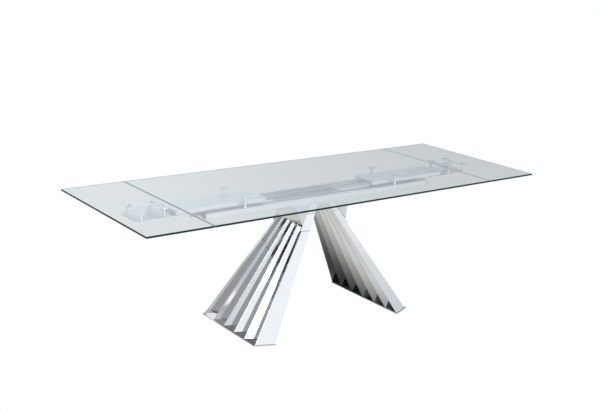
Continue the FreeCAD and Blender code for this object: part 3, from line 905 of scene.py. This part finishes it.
def stage_floor():
    """A pale floor: white to the eye; to the mirrors and through the glass it glows with painted light, with
    a painted shadow under the table.
    """
    finish = finish_named("pale_floor")
    seen = finish.node("ShaderNodeLightPath", output="Is Camera Ray")
    white = finish.node("ShaderNodeEmission", {}, {0: (1.0, 1.0, 1.0, 1.0), 1: 1.0})
    points = finish.place()
    east = finish.node("ShaderNodeSeparateXYZ", {}, {0: points}, output="X")
    north = finish.node("ShaderNodeSeparateXYZ", {}, {0: points}, output="Y")
    right, ahead = east - TABLE_SHADOW_MIDDLE[0], north - TABLE_SHADOW_MIDDLE[1]
    reach = (right * right + ahead * ahead) ** 0.5
    # painted shadow: the floor's glow falls to near black under the table
    under = finish.rise(reach, *PAINTED_TABLE_SHADOW)
    # painted shade: dimmer to the left, except far out
    dusk = finish.rise(east, *LEFT_DUSK)
    dusk = dusk + (1.0 - dusk) * finish.rise(reach, *FAR_FLOOR)
    # painted light: brighter in front, fading far ahead
    front = finish.rise(-1.0 * north, *FRONT_GLOW) * finish.rise(-1.0 * north, *FRONT_FADE)
    tone = finish.blend(under * dusk * front, (0.0, 0.0, 0.0, 1.0), (1.0, 0.995, 0.97, 1.0))
    # the floor's painted light and shadow, given out as glow
    painted_floor_glow = finish.node("ShaderNodeEmission", {}, {0: tone, 1: FLOOR_STRENGTH})
    shader = finish.node("ShaderNodeMixShader", {}, {0: seen, 1: painted_floor_glow, 2: white})
    mesh = bpy.data.meshes.new("floor")
    mesh.from_pydata([(-FLOOR_REACH, -FLOOR_REACH, 0), (FLOOR_REACH, -FLOOR_REACH, 0),
                      (FLOOR_REACH, FLOOR_REACH, 0), (-FLOOR_REACH, FLOOR_REACH, 0)],
                     [], [(0, 1, 2, 3)])
    floor = bpy.data.objects.new("floor", mesh)
    bpy.context.collection.objects.link(floor)
    mesh.materials.append(finish.surface(shader))


def area_light(name, place, target, size, power):
    """A soft box aimed at a point."""
    data = bpy.data.lights.new(name, "AREA")
    data.shape = "RECTANGLE"
    data.size, data.size_y = size
    data.energy = power
    lamp = bpy.data.objects.new(name, data)
    bpy.context.collection.objects.link(lamp)
    lamp.location = place
    lamp.rotation_euler = (Vector(target) - Vector(place)).to_track_quat("-Z", "Y").to_euler()


def studio():
    """The room: bright in front, grey to the left, dimmer behind to the right."""
    world = bpy.data.worlds.new("studio")
    bpy.context.scene.world = world
    room = Graph(world)
    towards = room.node("ShaderNodeTexCoord", output="Generated")
    east = room.node("ShaderNodeSeparateXYZ", {}, {0: towards}, output="X")
    north = room.node("ShaderNodeSeparateXYZ", {}, {0: towards}, output="Y")
    up = room.node("ShaderNodeSeparateXYZ", {}, {0: towards}, output="Z")
    lift = room.rise(up, *HORIZON_LIFT)
    left = room.rise(-1.0 * east, *LEFT_GREY) * room.rise(up, *LEFT_GREY_HEIGHT)
    away = east * DIM_WAY[0] + north * DIM_WAY[1]
    behind = room.rise(away, *BEHIND_DIM) * room.rise(up, *BEHIND_DIM_HEIGHT)
    level = lift * (1.0 - left) * (1.0 - behind)
    tone = room.blend(level, (0.0, 0.0, 0.0, 1.0), (0.93, 0.965, 1.0, 1.0))
    grey = room.node("ShaderNodeBackground", {}, {0: tone, 1: ROOM_STRENGTH})
    white = room.node("ShaderNodeBackground", {}, {0: (1.0, 1.0, 1.0, 1.0), 1: 1.0})
    seen = room.node("ShaderNodeLightPath", output="Is Camera Ray")
    shown = room.node("ShaderNodeMixShader", {}, {0: seen, 1: grey, 2: white})
    room.node("ShaderNodeOutputWorld", {}, {"Surface": shown})
    area_light("front_softbox", (-2.6, -4.2, 2.6), (0.0, 0.0, 0.5), (2.4, 1.6), 60.0)
    area_light("top_softbox", (0.5, 1.5, 3.6), (0.0, 0.0, 0.7), (3.0, 2.0), 50.0)


def camera():
    """The point of view: raised, from the front left."""
    data = bpy.data.cameras.new("view")
    data.sensor_width = SENSOR_WIDTH
    data.lens = LENS
    data.shift_x, data.shift_y = FRAME_SHIFT
    data.clip_end = VIEW_DEPTH
    ahead = Vector((math.sin(AZIMUTH) * math.cos(ELEVATION), math.cos(AZIMUTH) * math.cos(ELEVATION),
                    -math.sin(ELEVATION)))
    right = Vector((math.cos(AZIMUTH), -math.sin(AZIMUTH), 0.0))
    up = right.cross(ahead)
    right, up = (right * math.cos(ROLL) + up * math.sin(ROLL),
                 up * math.cos(ROLL) - right * math.sin(ROLL))
    item = bpy.data.objects.new("view", data)
    bpy.context.collection.objects.link(item)
    turn = Matrix((right, up, -ahead)).transposed()
    item.matrix_world = Matrix.Translation(EYE) @ turn.to_4x4()
    bpy.context.scene.camera = item


stage_floor()
studio()
camera()
bpy.context.scene.view_settings.view_transform = "Standard"
